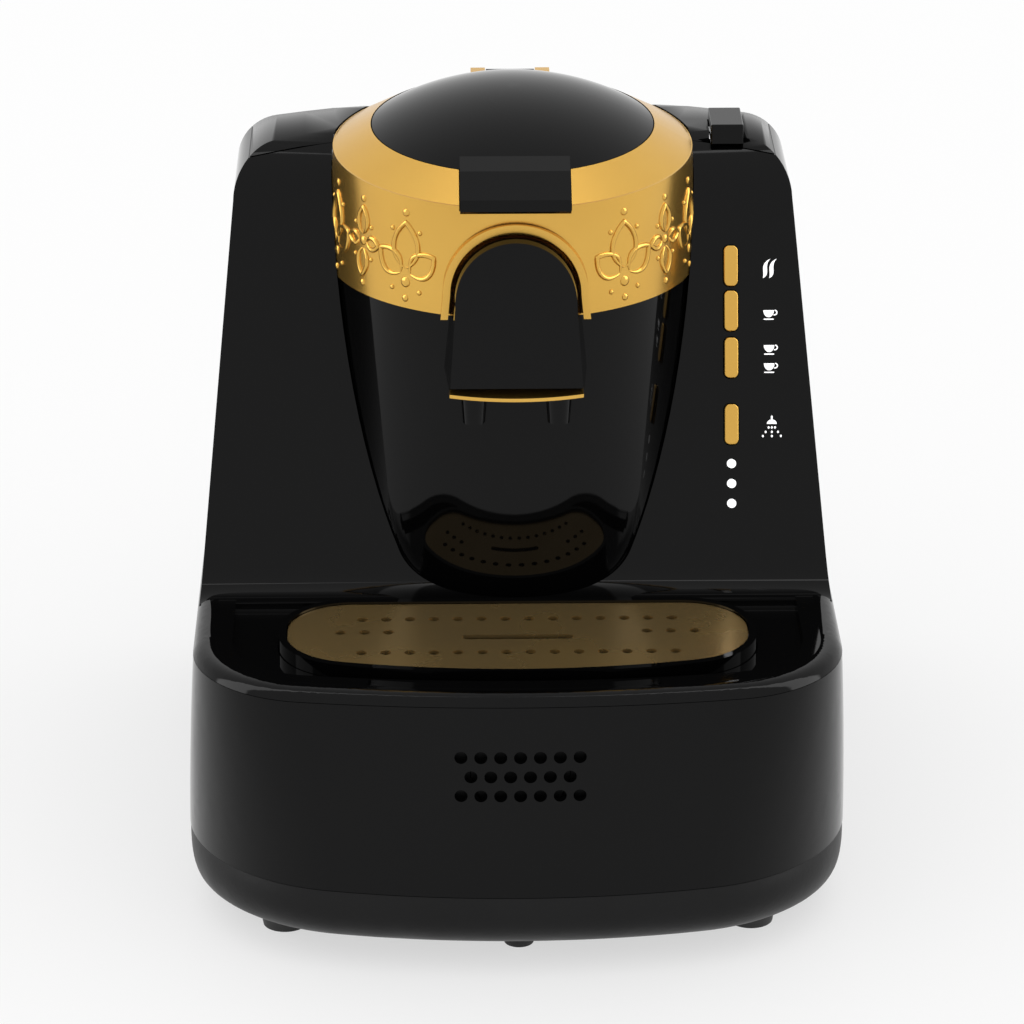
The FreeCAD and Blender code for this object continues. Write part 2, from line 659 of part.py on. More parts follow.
def tower_bore(label, gap):
    """The space that the housing and the tank lid leave round the column and the band."""
    low, high = d.deck_top - 1, d.hood_crest + 20
    foot, waist = d.column_foot_radius + gap, d.band_radius + gap
    taper = (d.band_radius - d.band_top_radius) / (d.mouth_height + d.band_over - d.band_low)
    below = rod(label + "_column", 0, d.tower_axis, low, foot, d.band_low - low, "z", waist)
    above = rod(label + "_band", 0, d.tower_axis, d.band_low, waist, high - d.band_low, "z",
                waist - taper * (high - d.band_low))
    return fuse(label, below, above)


def make_rear_housing():
    outer = hood_body("housing_form", 0)
    inner = hood_body("housing_hollow", d.hood_wall)
    shell = cut("housing_shell", outer, inner)
    spare = d.clearance * 2
    window = box("tank_window", -d.tank_half - spare - 2, d.tank_front - spare - 2, d.deck_top - 1,
                 d.tank_half + spare + 2, d.hood_back + 20, d.hood_crest + 20)
    tower = tower_bore("tower_bore", d.clearance)
    zone = make_lid_zone("housing_top_space", d.lid_edge + d.clearance)
    relief = box("swing_relief", -d.hood_half, d.hood_back - 6.5, hinge_height() - 6, d.hood_half,
                 d.hood_back + 20, d.hood_crest)
    tray = body_named("tray_bay")
    feature(tray, "Pad", tray_outline(tray, d.deck_top - 10, d.clearance, "bay"), "bay_pad", Length=30)
    slots = [leaning_bar(name + "_slot", height, d.clearance, dim(-8), dim(8)) for name, height in BUTTONS]
    dots = [dot("dot_hole_%d" % i, i, d.dot_radius + 0.1, -6, 12) for i in range(3)]
    body = cut("housing_cut", shell, window, tower, zone, relief, tray, *slots, *dots)
    posts = [leaning_box("board_post_%d" % i, d.button_across + 12, height, 2, 4, d.hood_wall - 0.5, board_depth())
             for i, height in enumerate((dim(206), dim(132)))]
    return fuse("rear_housing", body, *posts)


def dot(label, index, radius, front, length):
    height = dim(137.8) - d.dot_pitch * index * cosine(d.hood_lean)
    thing = doc.addObject("Part::Cylinder", label)
    thing.Label = label
    bind(thing, "Radius", radius)
    bind(thing, "Height", length)
    lean = d.hood_lean
    turn = Rotation(Vector(1, 0, 0), -90 - lean.number)
    place(thing, d.button_across, face_point(height) + front * cosine(lean), height - front * sine(lean), turn)
    return thing


def make_buttons():
    return [leaning_bar(name, height, dim(0), -d.button_stand, d.hood_wall + 2) for name, height in BUTTONS]


def make_tank_lid():
    outer = hood_body("lid_form", 0)
    zone = make_lid_zone("lid_zone", d.lid_edge)
    tower = tower_bore("lid_tower_bore", d.lid_gap)
    knuckles = [rod("lid_knuckle_%d" % i, x, d.hood_back - 5, hinge_height(), 2.6, 24, "x")
                for i, x in enumerate((d.tank_half * -0.6 - 12, d.tank_half * 0.6 - 12))]
    webs = [box("lid_web_%d" % i, x, d.hood_back - 7.6, hinge_height(), x + 24, d.hood_back - 2.4,
                hinge_height() + 12) for i, x in enumerate((d.tank_half * -0.6 - 12, d.tank_half * 0.6 - 12))]
    cap = common("lid_cap", outer, fuse("lid_space", zone, *webs))
    body = fuse("lid_with_knuckles", cap, *knuckles)
    bore = rod("lid_hinge_bore", -d.tank_half, d.hood_back - 5, hinge_height(), 1.2 + d.pin_play,
               d.tank_half * 2, "x")
    seat = latch_box("latch_seat", d.clearance)
    return cut("tank_lid", body, tower, bore, seat)


def hinge_height():
    fall = d.hood_fall
    drop = (d.hood_back - 5 - d.hood_break) * sine(fall) / cosine(fall)
    return d.hood_crest - d.lid_edge - drop - 9


def latch_box(label, spare):
    """The finger grip at the front edge of the tank lid."""
    y = face_point(d.hood_crest - 6) + 16
    return box(label, d.button_across - 6 - spare, y - 8 - spare, d.hood_crest - 6.5 - spare,
               d.button_across + 5 + spare, y + 12 + spare, d.hood_crest + 0.6 + spare)


def make_lid_latch():
    return latch_box("latch_grip", dim(0))


def make_tank():
    wall = d.tank_wall
    body = body_named("tank_vessel")
    plan = plane_sketch(body, "XY_Plane", d.tank_floor, "plan")
    draw(plan, rounded(-d.tank_half, d.tank_front, d.tank_half, d.tank_back, d.tank_corner))
    feature(body, "Pad", plan, "outer", Length=d.tank_top - d.tank_floor)
    hollow = plane_sketch(body, "XY_Plane", d.tank_top + 1, "hollow")
    draw(hollow, rounded(-d.tank_half + wall, d.tank_front + wall, d.tank_half - wall, d.tank_back - wall,
                         d.tank_corner - wall))
    feature(body, "Pocket", hollow, "inner", Length=d.tank_top + 1 - d.tank_floor - wall)
    x, y, radius = hose_ports()[0]
    valve = rod("tank_valve_bore", x, y, d.tank_floor - 1, 6, wall + 2)
    ears = []
    for side in (-1, 1):
        for step in (-12 - 0.3 - 5, 12 + 0.3):
            left = side * d.tank_half * 0.6 + step
            ears.append(box("tank_ear_%d_%d" % (side, step > 0), left, d.tank_back - 5.2, d.tank_top - 6,
                            left + 5, d.tank_back - 0.2, hinge_height() + 2.4))
    whole = fuse("tank_with_ears", body, *ears)
    bore = rod("tank_hinge_bore", -d.tank_half, d.hood_back - 5, hinge_height(), 1.2 + d.pin_play,
               d.tank_half * 2, "x")
    return cut("water_tank", whole, valve, bore)


def make_tank_bay():
    spare = d.clearance * 2
    floor = d.tank_floor - d.clearance
    outer = box("bay_outer", -d.tank_half - spare - 1.7, d.tank_front - spare - 1.7, d.deck_top + 0.05,
                d.tank_half + spare + 1.7, d.hood_back, d.tank_top - 3)
    inner = box("bay_inner", -d.tank_half - spare, d.tank_front - spare, floor, d.tank_half + spare,
                d.hood_back + 5, d.tank_top)
    x, y, radius = hose_ports()[0]
    port = rod("bay_port", x, y, d.deck_top - 1, radius + 1, 20)
    return cut("tank_bay", outer, inner, port)


def make_column():
    low, high = d.deck_top + 0.05, d.band_low - 0.05
    outer = rod("column_outer", 0, d.tower_axis, low, d.column_foot_radius, high - low, "z", d.column_radius)
    inner = rod("column_inner", 0, d.tower_axis, low, d.column_foot_radius - d.column_wall, high - low, "z",
                d.column_radius - d.column_wall)
    port = box("column_port", -17, d.tower_axis - d.column_foot_radius - 2, d.spout_low + 4, 17,
               d.tower_axis - 40, d.spout_low + 14)
    tray = body_named("column_tray_bay")
    feature(tray, "Pad", tray_outline(tray, d.deck_top - 10, d.clearance, "bay"), "bay_pad", Length=30)
    return cut("column", outer, inner, port, tray)


def turned(label, x, y, z, outline, tilt=None):
    """A turned piece about its own upright axis, from radius and height pairs."""
    body = body_named(label)
    sketch = plane_sketch(body, "XZ_Plane", 0, "profile")
    draw(sketch, outline)
    thing = body.newObject("PartDesign::Revolution", label + "_turn")
    thing.Profile = sketch
    thing.ReferenceAxis = (sketch, ["V_Axis"])
    thing.Angle = 360
    turn = Rotation(Vector(1, 0, 0), tilt.number) if tilt else Rotation()
    place(body, x, y, z, turn)
    return body


def make_gold_band():
    wall = 2.6
    slope = d.shoulder_height - d.mouth_height
    mouth = d.lid_radius + 0.4
    blank = turned("band_blank", 0, d.tower_axis, 0,
                   [(d.band_radius - wall, d.band_low), (d.band_radius, d.band_low),
                    (d.band_top_radius, d.mouth_height + d.band_over), (mouth - 4, d.mouth_height + d.band_over),
                    (mouth - 4, d.mouth_height - 0.9), (d.band_top_radius - wall, d.shoulder_height - 5.6)])
    top = turned("band_shoulder_tool", 0, d.tower_axis, d.mouth_height,
                 [(mouth, dim(-14)), (mouth, dim(0)), (d.band_top_radius + 0.2, slope),
                  (d.band_top_radius + 12, slope), (d.band_top_radius + 12, dim(30)), (0, dim(30)),
                  (0, dim(-14))], d.band_tilt)
    notch = box("band_notch", -d.tab_half - d.clearance, d.tower_axis - d.band_radius - 4, d.tab_low - d.clearance,
                d.tab_half + d.clearance, d.tower_axis - d.lid_radius + 6, d.mouth_height + 12)
    back = box("band_hinge_notch", dim(-14), d.tower_axis + d.lid_radius - 3, d.shoulder_height - 1, dim(14),
               d.tower_axis + d.lid_radius + 9, d.mouth_height + 12)
    body = cut("band_cut", blank, top, notch, back)
    ears = [box("band_ear_%d" % i, x, hinge_y() - 3, d.shoulder_height - 1.2, x + 5, hinge_y() + 3,
                lid_hinge_height() + 2.6) for i, x in enumerate((dim(-13.7), dim(8.7)))]
    whole = fuse("band_with_ears", body, *ears)
    bore = rod("band_hinge_bore", dim(-20), hinge_y(), lid_hinge_height(), 1.3 + d.pin_play, 40, "x")
    return cut("gold_band", whole, bore)


def hinge_y():
    return d.tower_axis + d.lid_radius + 4.6


def lid_hinge_height():
    return d.mouth_height


def make_brew_lid():
    rise, radius = d.lid_rise, d.lid_radius
    dome = (radius * radius + rise * rise) / (rise * 2)
    blank = turned("lid_dome", 0, d.tower_axis, d.mouth_height,
                   [(radius - 0.8, -d.lid_depth), (radius, -d.lid_depth + 0.8), (radius, dim(0)),
                    (0, rise, dome, 1), (0, -d.lid_depth)], d.band_tilt)
    tab = body_named("lid_tab")
    side = plane_sketch(tab, "YZ_Plane", 0, "side")
    edge, out = -d.lid_radius, -d.band_radius
    low = d.tab_low - d.mouth_height
    draw(side, [(edge + 6, dim(-3)), (edge + 6, dim(1.4)), (edge - 2, dim(-1.2)), (out + 1, low + 4.4),
                (out - 0.9, low + 1.0), (out + 0.2, low), (edge - 5, low + 3.4), (edge - 1, dim(-5))])
    feature(tab, "Pad", side, "pad", Length=d.tab_half * 2, SideType="Symmetric")
    place(tab, 0, d.tower_axis, d.mouth_height)
    knuckle = rod("lid_barrel", dim(-8.4), hinge_y(), lid_hinge_height(), 2.9, 16.8, "x")
    arm = box("lid_arm", dim(-8.4), hinge_y() - 5.5, lid_hinge_height() - 1, dim(8.4), hinge_y(),
              lid_hinge_height() + 2.4)
    whole = fuse("lid_whole", blank, tab, knuckle, arm)
    bore = rod("lid_pin_bore", dim(-20), hinge_y(), lid_hinge_height(), 1.3 + d.pin_play, 40, "x")
    return cut("brew_lid", whole, bore)


def spout_bow(label, lean):
    """The round that gives the spout hood and its trim their bowed front, leaning back."""
    low = 20
    thing = rod(label, 0, d.spout_bow - d.spout_front - low * sine(lean), d.spout_low - low * cosine(lean),
                d.spout_bow, 110)
    thing.Placement = Placement(thing.Placement.Base, Rotation(Vector(1, 0, 0), -lean.number))
    return thing


def make_spout():
    body = body_named("spout_form")
    sections = []
    for i, (front, inward, drop) in enumerate(((d.band_radius - d.tower_axis - 8, 0, 0),
                                               (d.spout_front, d.spout_draft, 1))):
        sketch = plane_sketch(body, "XZ_Plane", front, "arch_%d" % i)
        half, arch, corner = d.spout_half - inward, d.spout_arch - inward, d.spout_corner
        middle, low = d.spout_arch_height - drop, d.spout_low
        draw(sketch, [(half - corner, low), (half - 0.1, low + corner, corner, 1), (arch, middle),
                      (0, middle + arch, arch, 1), (-arch, middle, arch, 1),
                      (0.1 - half, low + corner), (corner - half, low, corner, 1)])
        sections.append(sketch)
    loft(body, sections, "form")
    tower = rod("spout_tower", 0, d.tower_axis, d.spout_low - 10, d.band_radius + 0.25, 80)
    wall = d.spout_wall
    cavity = box("spout_cavity", wall - d.spout_arch + d.spout_draft, wall * 2.4 - d.spout_front,
                 d.spout_low + 3, d.spout_arch - d.spout_draft - wall, -d.band_radius + d.tower_axis + 6,
                 d.spout_low + 12)
    bores = [rod("spout_bore_%d" % i, x, nozzle_y(), d.spout_low - 2, d.nozzle_bore + 1, 8)
             for i, x in enumerate((-d.nozzle_across, d.nozzle_across))]
    bowed = common("spout_bowed", body, spout_bow("spout_bow", d.spout_lean))
    return cut("spout_hood", bowed, tower, cavity, *bores)


def nozzle_y():
    return (d.tower_axis - d.band_radius - d.spout_front) / 2


def board_depth():
    """How far the control board lies behind the face, past the pressed buttons."""
    return d.hood_wall + 2 + d.button_travel + 3.6


def make_controls():
    board = leaning_box("control_board", d.button_across + 6, dim(168), dim(11), dim(86), board_depth() + 0.05,
                        board_depth() + 0.05 + d.board_thickness)
    switches = [leaning_box(name + "_switch", d.button_across, height, dim(2.2), dim(5),
                            board_depth() - 2.8, board_depth()) for name, height in BUTTONS]
    dots = [dot("indicator_%d" % i, i, d.dot_radius, -0.3, board_depth() - 0.1) for i in range(3)]
    return [board, fuse("key_switches", *switches), fuse("indicator_lights", *dots)]


def make_feet():
    feet = [rod("foot_centre", 0, -d.centre_foot_front, 0, d.centre_foot_radius - 0.6, d.foot_height, "z",
                d.centre_foot_radius)]
    places = (("foot_front_left", -1, -d.foot_front), ("foot_front_right", 1, -d.foot_front),
              ("foot_rear_left", -1, d.foot_rear), ("foot_rear_right", 1, d.foot_rear))
    for label, side, y in places:
        feet.append(rod(label, side * d.foot_across, y, 0, d.foot_radius - 1, d.foot_height, "z", d.foot_radius))
    return feet


def make_nozzle(label, side):
    x, top = side * d.nozzle_across, d.spout_low - d.trim_thickness - 0.05
    outer = rod(label + "_outer", x, nozzle_y(), top - d.nozzle_length, d.nozzle_tip_radius, d.nozzle_length,
                "z", d.nozzle_radius)
    bore = rod(label + "_bore", x, nozzle_y(), top - d.nozzle_length - 1, d.nozzle_bore, d.nozzle_length + 2)
    return cut(label, outer, bore)


def make_spout_trim():
    body = body_named("trim_plate")
    low = d.spout_low - d.trim_thickness
    sketch = plane_sketch(body, "XY_Plane", low, "plan")
    half = d.spout_half - d.spout_draft
    draw(sketch, rounded(-half, -d.spout_front, half, -d.tower_axis - 30, dim(4)))
    feature(body, "Pad", sketch, "pad", Length=d.trim_thickness - 0.02)
    bowed = common("trim_bowed", body, spout_bow("trim_bow", dim(0)))
    tower = rod("trim_tower", 0, d.tower_axis, low - 5, d.band_radius + 0.25, 10)
    bores = [rod("trim_bore_%d" % i, x, nozzle_y(), low - 2, d.nozzle_bore + 1, 8)
             for i, x in enumerate((-d.nozzle_across, d.nozzle_across))]
    return cut("spout_trim", bowed, tower, *bores)


def make_spout_bead():
    """The raised gold bead on the band round the arch of the spout hood."""
    shapes = []
    flare = (d.spout_half - d.spout_arch) / (d.spout_arch_height - d.spout_low)
    for label, spare, under in (("bead_outer", d.bead_radius * 2 + d.clearance, 0), ("bead_inner", d.clearance, 4)):
        body = body_named(label)
        sketch = plane_sketch(body, "XZ_Plane", d.tower_axis + 25, "arch")
        low, middle = d.band_low + 0.3 - under, d.spout_arch_height
        arch = d.spout_arch + spare
        half = arch + flare * (middle - low)
        draw(sketch, [(half, low), (arch, middle), (0, middle + arch, arch, 1), (-arch, middle, arch, 1),
                      (-half, low)])
        feature(body, "Pad", sketch, "pad", Length=d.band_radius - d.tower_axis - 35 + d.bead_radius)
        shapes.append(body)
    band = rod("bead_tower", 0, d.tower_axis, d.band_low - 10, d.band_radius + 0.05, 60)
    return cut("spout_bead", shapes[0], shapes[1], band)


def make_brew_pot():
    wall, low, high, radius = d.pot_wall, d.pot_floor, d.pot_rim, d.pot_radius
    return turned("brew_pot", 0, d.tower_axis, 0,
                  [(0, low), (radius - 5, low), (radius, low + 5, dim(5), 1), (radius, high - wall),
                   (d.pot_flange, high - wall), (d.pot_flange, high), (radius - wall, high),
                   (radius - wall, low + 5), (radius - 5, low + wall, 5 - wall, -1), (0, low + wall)])


def make_tower_inside():
    top = d.pot_rim - d.pot_wall - 0.05
    seat = ring("pot_seat_blank", 0, d.tower_axis, top - 5, d.pot_flange + 4.6, d.pot_radius + 0.4, 5)
    hose = rod("seat_hose_hole", -d.hose_across, d.tower_axis, top - 8, d.hose_radius + 0.2, 12)
    seat = cut("pot_seat", seat, hose)
    heater = rod("heater", 0, d.tower_axis, d.pot_floor - 0.05 - d.heater_thickness, d.heater_radius,
                 d.heater_thickness)
    under = d.pot_floor - 0.1 - d.heater_thickness
    thermostat = fuse("thermostat", rod("thermostat_can", 0, d.tower_axis, under - 6, 8, 6),
                      rod("thermostat_stem", 0, d.tower_axis, under - 12, 5, 6))
    carrier = rod("carrier_disc", 0, d.tower_axis, under - 10, d.column_radius - d.column_wall - 0.1, 2.4)
    legs = [rod("carrier_leg_%d" % i, 26 * math.cos(a), d.tower_axis + 26 * math.sin(a), under - 8, 3, 8)
            for i, a in enumerate((math.radians(40), math.radians(140), math.radians(270)))]
    holes = [rod("carrier_hole", 0, d.tower_axis, under - 14, 9, 8),
             rod("carrier_hose_hole", -d.hose_across, d.tower_axis, under - 14, d.hose_radius + 0.3, 8)]
    carrier = cut("heater_carrier", fuse("carrier_with_legs", carrier, *legs), *holes)
    return [seat, heater, thermostat, carrier]


def make_pins():
    lid = rod("brew_lid_pin", dim(-13.5), hinge_y(), lid_hinge_height(), 1.3, 27, "x")
    reach = 12 + 0.3 + 4.8
    pins = [rod("tank_pin_%d" % i, side * d.tank_half * 0.6 - reach, d.hood_back - 5, hinge_height(), 1.2,
                dim(reach * 2), "x") for i, side in enumerate((-1, 1))]
    return [lid, fuse("tank_lid_pins", *pins)]


def make_base_inside():
    floor = d.foot_height + d.shell_wall + 0.3
    x, y = -d.hose_across, d.tower_axis
    z, radius = d.pump_height, d.pump_radius
    pump = fuse("pump", rod("pump_can", x, y - 15, z, radius, 46, "y"),
                rod("pump_head", x, y + 31, z, radius - 4, 14, "y"),
                rod("pump_inlet", x, y + 45, z, d.hose_radius + 1.2, 8, "y"),
                rod("pump_outlet", x, y, z, d.hose_radius + 1.2, radius + 6))
    saddle = cut("pump_bracket", box("bracket_block", x - 13, y - 8, floor, x + 13, y + 24, z - radius + 5),
                 rod("bracket_bore", x, y - 20, z, radius + 0.3, 60, "y"))
    feed = rod("feed_hose", x, y, z + radius + 6.3, d.hose_radius,
               d.pot_rim - 3 - (z + radius + 6.3))
    tank_x, tank_y = d.valve_across, (d.tank_front + d.tank_back) / 2
    supply_high = d.tank_floor - d.clearance - 1
    down = rod("supply_down", tank_x, tank_y, z, d.hose_radius, supply_high - z)
    across = rod("supply_across", x, tank_y, z, d.hose_radius, tank_x - x, "x")
    back = rod("supply_back", x, y + 53.3, z, d.hose_radius, tank_y - y - 53.3, "y")
    elbows = []
    for i, ex in enumerate((tank_x, x)):
        ball = doc.addObject("Part::Sphere", "supply_elbow_%d" % i)
        bind(ball, "Radius", d.hose_radius)
        place(ball, ex, tank_y, z)
        elbows.append(ball)
    supply = fuse("supply_hose", down, across, back, *elbows)
    board_low = d.board_height
    board = box("main_board", 5, -30, board_low, 85, 60, board_low + d.board_thickness)
    posts = fuse("board_posts", *[rod("post_%d" % i, px, py, floor, 3, board_low - 0.05 - floor)
                                  for i, (px, py) in enumerate(((10, -25), (80, -25), (10, 55), (80, 55)))])
    parts_high = board_low + d.board_thickness + 0.05
    supply_unit = box("power_supply", 15, 5, parts_high, 45, 40, parts_high + 26)
    relays = fuse("relays", *[box("relay_%d" % i, 55, y0, parts_high, 70, y0 + 18, parts_high + 15)
                              for i, y0 in enumerate((-20, 5, 30))])
    speaker_y = -d.front_reach + d.shell_wall + 1.9
    rim = d.speaker_radius
    speaker = fuse("speaker", rod("speaker_rim", 0, speaker_y, d.grille_height, rim, 3, "y"),
                   rod("speaker_magnet", 0, speaker_y + 3, d.grille_height, rim * 0.42, 8, "y"))
    bracket = cut("speaker_bracket",
                  box("speaker_block", -rim - 8, speaker_y, d.grille_height - rim - 2, rim + 8, speaker_y + 3,
                      d.grille_height + rim + 1),
                  rod("speaker_block_bore", 0, speaker_y - 5, d.grille_height, rim + 0.3, 20, "y"))
    return [pump, saddle, feed, supply, board, posts, supply_unit, relays, speaker, bracket]


def make_tank_valve():
    x, y = d.valve_across, (d.tank_front + d.tank_back) / 2
    low = d.tank_floor
    collar = ring("valve_collar", x, y, low + 0.05, 5.8, 2.2, d.tank_wall + 3)
    cap = rod("valve_cap", x, y, low + d.tank_wall + 0.1, 8.5, 1.6)
    return fuse("tank_valve", collar, cut("valve_cap_cut", cap, rod("valve_cap_bore", x, y, low, 2.2, 8)))


def make_cord_gland():
    length = d.gland_length + d.gland_mouth
    y = d.rear_reach - length
    sleeve = rod("gland_sleeve", -d.gland_across, y, d.gland_height, d.gland_radius - 0.1, length, "y")
    flange = rod("gland_flange", -d.gland_across, d.rear_reach - d.shell_wall - 3.2, d.gland_height,
                 d.gland_radius + 2, 3, "y")
    bore = rod("gland_bore_tool", -d.gland_across, y - 1, d.gland_height, d.gland_bore, length + 2, "y")
    mouth = rod("gland_mouth_tool", -d.gland_across, d.rear_reach - d.gland_mouth, d.gland_height,
                d.gland_bore + 1, d.gland_mouth + 1, "y")
    return cut("cord_gland", fuse("gland_body", sleeve, flange), bore, mouth)


def make_seal():
    inner, outer = d.pot_radius + 0.2, d.pot_radius + 4.2
    low, high = -d.lid_depth - 1.5, -d.lid_depth - 0.05
    return turned("lid_seal", 0, d.tower_axis, d.mouth_height,
                  [(inner, low), (outer, low), (outer, high), (inner, high)], d.band_tilt)


def make_pieces():
    pieces = [make_bottom_shell(), make_base_skirt(), make_deck_cover(), make_drip_tray(), make_drip_plate(),
              make_rear_housing(), make_column(), make_gold_band(), make_brew_lid(), make_tank_lid(),
              make_lid_latch(), make_tank(), make_tank_bay(), make_spout()]
    pieces += make_buttons() + make_controls() + make_feet() + make_tower_inside() + make_pins()
    pieces += [make_nozzle("nozzle_left", -1), make_nozzle("nozzle_right", 1), make_spout_trim(),
               make_spout_bead(), make_brew_pot(), make_tank_valve(), make_seal(), make_cord_gland()]
    pieces += make_base_inside()
    return pieces


def finish(pieces):
    doc.recompute()
    bad = [o.Label for o in doc.Objects if "Invalid" in o.State or "Error" in o.State]
    if bad:
        raise RuntimeError("failed objects: %s" % bad)
    os.makedirs("parts", exist_ok=True)
    for thing in pieces:
        shape = thing.Shape
        if shape.isNull() or not shape.isValid():
            raise RuntimeError("bad shape: %s" % thing.Label)
        shape.exportStep("parts/%s.step" % thing.Label)


finish(make_pieces())
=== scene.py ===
"""Looks of the turkish coffee machine, in metres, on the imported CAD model."""

import json
import math

import bmesh
import bpy
from mathutils import Matrix, Vector

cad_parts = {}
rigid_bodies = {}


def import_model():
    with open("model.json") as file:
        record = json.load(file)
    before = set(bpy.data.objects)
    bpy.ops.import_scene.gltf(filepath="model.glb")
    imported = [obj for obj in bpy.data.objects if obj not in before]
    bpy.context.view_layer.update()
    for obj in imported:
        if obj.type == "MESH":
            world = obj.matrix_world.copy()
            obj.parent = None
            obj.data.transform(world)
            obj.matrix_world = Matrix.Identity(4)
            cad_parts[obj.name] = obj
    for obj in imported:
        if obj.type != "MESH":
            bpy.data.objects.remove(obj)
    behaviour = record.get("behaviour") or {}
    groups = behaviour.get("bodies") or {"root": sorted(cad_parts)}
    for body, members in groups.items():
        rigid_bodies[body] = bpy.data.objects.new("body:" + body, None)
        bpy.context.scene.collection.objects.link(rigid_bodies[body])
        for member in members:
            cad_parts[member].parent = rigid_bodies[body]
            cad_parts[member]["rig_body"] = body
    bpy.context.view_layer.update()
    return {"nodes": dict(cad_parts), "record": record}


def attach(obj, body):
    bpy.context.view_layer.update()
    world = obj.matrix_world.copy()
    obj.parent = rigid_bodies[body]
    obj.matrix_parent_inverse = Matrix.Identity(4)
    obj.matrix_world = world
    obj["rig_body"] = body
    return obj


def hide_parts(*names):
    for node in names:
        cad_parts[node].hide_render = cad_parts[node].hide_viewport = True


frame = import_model()
NODES = frame["nodes"]
SCENE = bpy.context.scene


# Materials

def new_material(name):
    material = bpy.data.materials.new(name)
    material.use_nodes = True
    tree = material.node_tree
    shader = tree.nodes["Principled BSDF"]
    return material, tree, shader


def add(tree, kind, **values):
    node = tree.nodes.new(kind)
    for key, value in values.items():
        if key in node.inputs.keys():
            node.inputs[key].default_value = value
        else:
            setattr(node, key, value)
    return node


def ramp(tree, source, stops):
    node = add(tree, "ShaderNodeValToRGB")
    elements = node.color_ramp.elements
    while len(elements) < len(stops):
        elements.new(0.5)
    for element, (position, colour) in zip(elements, stops):
        element.position = position
        element.color = (colour, colour, colour, 1) if isinstance(colour, float) else colour
    tree.links.new(source, node.inputs[0])
    return node.outputs[0]


def surface(name, colour, roughness, spread, grain, bump=0.0, second=None, metallic=0.0, **extra):
    """Colour and roughness wander a little with a noise of that grain; the bump is in metres."""
    material, tree, shader = new_material(name)
    place = add(tree, "ShaderNodeTexCoord")
    noise = add(tree, "ShaderNodeTexNoise", Scale=grain, Detail=4.0)
    tree.links.new(place.outputs["Object"], noise.inputs["Vector"])
    low, high = max(roughness - spread, 0.01), roughness + spread
    tree.links.new(ramp(tree, noise.outputs[0], [(0.3, low), (0.7, high)]), shader.inputs["Roughness"])
    second = second or tuple(c * 0.8 for c in colour)
    tint = ramp(tree, noise.outputs[0], [(0.35, tuple(colour) + (1,)), (0.65, tuple(second) + (1,))])
    tree.links.new(tint, shader.inputs["Base Color"])
    shader.inputs["Metallic"].default_value = metallic
    for key, value in extra.items():
        shader.inputs[key.replace("_", " ")].default_value = value
    if bump:
        relief = add(tree, "ShaderNodeBump", Strength=0.35, Distance=bump)
        fine = add(tree, "ShaderNodeTexNoise", Scale=grain * 14, Detail=2.0)
        tree.links.new(place.outputs["Object"], fine.inputs["Vector"])
        tree.links.new(fine.outputs[0], relief.inputs["Height"])
        tree.links.new(relief.outputs[0], shader.inputs["Normal"])
    return material


MATERIALS = {
    "gloss_black": surface("gloss_black", (0.0012, 0.0012, 0.0013), 0.045, 0.012, 9.0, IOR=1.25),
    "matte_black": surface("matte_black", (0.003, 0.003, 0.0032), 0.42, 0.05, 60.0, 0.00012, IOR=1.3),
    "gold_band": surface("gold_band", (0.70, 0.42, 0.09), 0.24, 0.03, 14.0, second=(0.64, 0.37, 0.075),
                         metallic=0.9),
    "gold_sheet": surface("gold_sheet", (0.70, 0.48, 0.20), 0.26, 0.04, 30.0, 0.00004,
                          second=(0.62, 0.42, 0.16), metallic=0.9),
    "steel": surface("steel", (0.55, 0.55, 0.54), 0.3, 0.05, 25.0, 0.00005, metallic=1.0),
    "cast_aluminium": surface("cast_aluminium", (0.42, 0.42, 0.43), 0.5, 0.08, 60.0, 0.0002, metallic=0.9),
    "rubber": surface("rubber", (0.012, 0.012, 0.012), 0.6, 0.08, 90.0, 0.0002),
    "silicone": surface("silicone", (0.62, 0.62, 0.6), 0.42, 0.05, 40.0),
    "smoke_tank": surface("smoke_tank", (0.05, 0.05, 0.055), 0.08, 0.02, 12.0, Transmission_Weight=0.75,
                          IOR=1.5),
    "board": surface("board", (0.02, 0.12, 0.05), 0.45, 0.05, 120.0),
    "metal_parts": surface("metal_parts", (0.3, 0.3, 0.31), 0.4, 0.08, 50.0, metallic=0.8),
    "white_light": surface("white_light", (0.9, 0.92, 0.95), 0.3, 0.03, 80.0, Emission_Strength=0.8),
}
LIGHT_SHADER = MATERIALS["white_light"].node_tree.nodes["Principled BSDF"]
LIGHT_SHADER.inputs["Emission Color"].default_value = (1, 1, 1, 1)


SLOTS = {part["node"]: part["material_slot"] for part in frame["record"]["subparts"]}


def dress_cad():
    """Gives every CAD node its slot's material."""
    for name, node in NODES.items():
        node.data.materials.clear()
        node.data.materials.append(MATERIALS[SLOTS[name]])


def new_piece(name, build, slot, body, auto=None):
    """Turns a bmesh into a piece of the object that rides on a body."""
    mesh = bpy.data.meshes.new(name)
    build.to_mesh(mesh)
    build.free()
    mesh.shade_smooth()
    if auto is not None:
        mesh.set_sharp_from_angle(angle=math.radians(auto))
    mesh.materials.append(MATERIALS[slot])
    piece = bpy.data.objects.new(name, mesh)
    SCENE.collection.objects.link(piece)
    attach(piece, body)
    return piece


